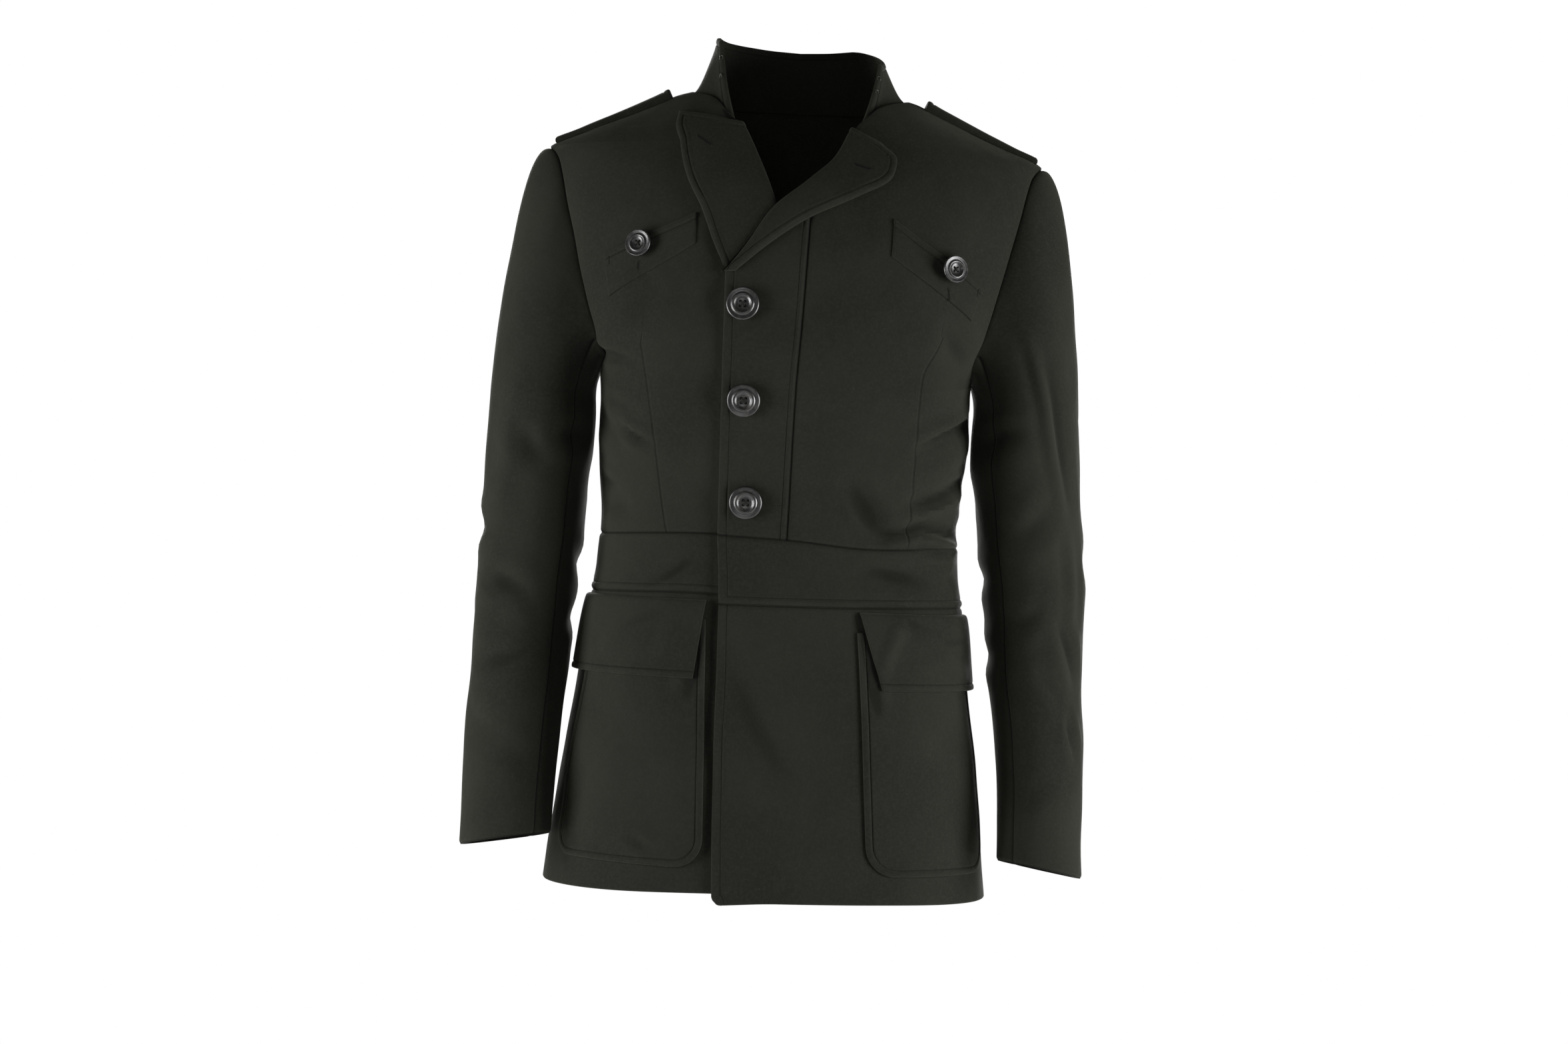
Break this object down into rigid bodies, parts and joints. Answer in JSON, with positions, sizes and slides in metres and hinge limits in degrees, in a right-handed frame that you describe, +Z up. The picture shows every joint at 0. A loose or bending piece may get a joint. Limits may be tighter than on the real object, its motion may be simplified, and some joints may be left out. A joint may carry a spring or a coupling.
{
  "type": "military coat",
  "caption": "Wool service coat in worn, hollow form, with a standing collar, folded lapels, shoulder straps, waistband, patch pockets with flaps and long sleeves.",
  "frame": {"origin": "middle of the neck opening, level with the two neck points where the shoulder seams end", "axes": "+Z up, -Y out of the front of the coat, +X to the wearer's left"},
  "size_m": [0.5548, 0.2932, 0.7701],
  "materials": {
    "wool": "brushed",
    "horn": "glossy"
  },
  "bodies": {
    "root": {"front_left": "wool", "overlap_left": "wool", "front_right": "wool", "back": "wool", "waistband_left": "wool", "waistband_right": "wool", "waistband_back": "wool", "skirt_left": "wool", "skirt_right": "wool", "skirt_back": "wool", "sleeve_top_left": "wool", "sleeve_top_right": "wool", "sleeve_under_left": "wool", "sleeve_under_right": "wool", "collar": "wool", "lapel_left": "wool", "lapel_right": "wool", "chest_flap_left": "wool", "chest_flap_right": "wool", "pocket_left": "wool", "pocket_right": "wool", "pocket_flap_left": "wool", "pocket_flap_right": "wool", "epaulette_left": "wool", "epaulette_right": "wool", "button_front_1": "horn", "button_front_2": "horn", "button_front_3": "horn", "button_chest_left": "horn", "button_chest_right": "horn"}
  },
  "joints": []
}
